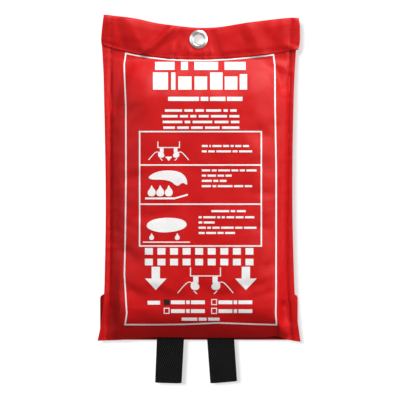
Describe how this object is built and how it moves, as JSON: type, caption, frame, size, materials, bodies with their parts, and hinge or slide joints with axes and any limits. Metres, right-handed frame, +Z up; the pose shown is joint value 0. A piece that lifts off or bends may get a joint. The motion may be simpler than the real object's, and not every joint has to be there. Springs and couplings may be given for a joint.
{
  "type": "fire blanket",
  "caption": "Soft red fabric pouch hung by a metal eyelet, holding a folded glass fabric fire blanket that pulls out downwards by two black webbing tapes.",
  "frame": {"origin": "on the axis of the hanging eyelet, at the rear face of the back panel", "axes": "+Z up as it hangs, +X to the right seen from the front, +Y towards the wall, so the printed front faces -Y"},
  "size_m": [0.1896, 0.0214, 0.3442],
  "materials": {
    "red_fabric": "satin",
    "red_thread": "matte",
    "nickel": "satin",
    "black_webbing": "matte",
    "glass_fabric": "matte",
    "hook_and_loop": "matte"
  },
  "bodies": {
    "pouch": {"front_panel": "red_fabric", "mouth_lip": "red_fabric", "back_panel": "red_fabric", "header_band": "red_fabric", "eyelet": "nickel", "eyelet_washer": "nickel", "side_thread_left": "red_thread", "side_thread_right": "red_thread", "header_thread": "red_thread", "loop_strip": "hook_and_loop"},
    "flap": {"closure_flap": "red_fabric", "flap_thread": "red_thread", "hook_strip": "hook_and_loop"},
    "blanket": {"folded_blanket": "glass_fabric", "tape_root_left": "black_webbing", "tape_root_right": "black_webbing", "tape_thread_left": "black_webbing", "tape_thread_right": "black_webbing"},
    "tape_left": {"pull_tape_left": "black_webbing"},
    "tape_right": {"pull_tape_right": "black_webbing"}
  },
  "joints": [
    {"name": "blanket_slide", "type": "slide", "parent": "pouch", "child": "blanket", "axis": [0, 0, -1], "range_m": [0, 0.27], "deforming": ["mouth_lip"]},
    {"name": "tape_left_swing", "type": "hinge", "parent": "blanket", "child": "tape_left", "pos_m": [-0.0262, -0.0024, -0.2808], "axis": [-1, 0, 0], "range_deg": [-4, 80]},
    {"name": "tape_right_swing", "type": "hinge", "parent": "blanket", "child": "tape_right", "pos_m": [0.0206, -0.0024, -0.2808], "axis": [-1, 0, 0], "range_deg": [-4, 80]},
    {"name": "flap_fold", "type": "hinge", "parent": "pouch", "child": "flap", "pos_m": [0, 0.0033, -0.2788], "axis": [-1, 0, 0], "range_deg": [0, 170]}
  ]
}
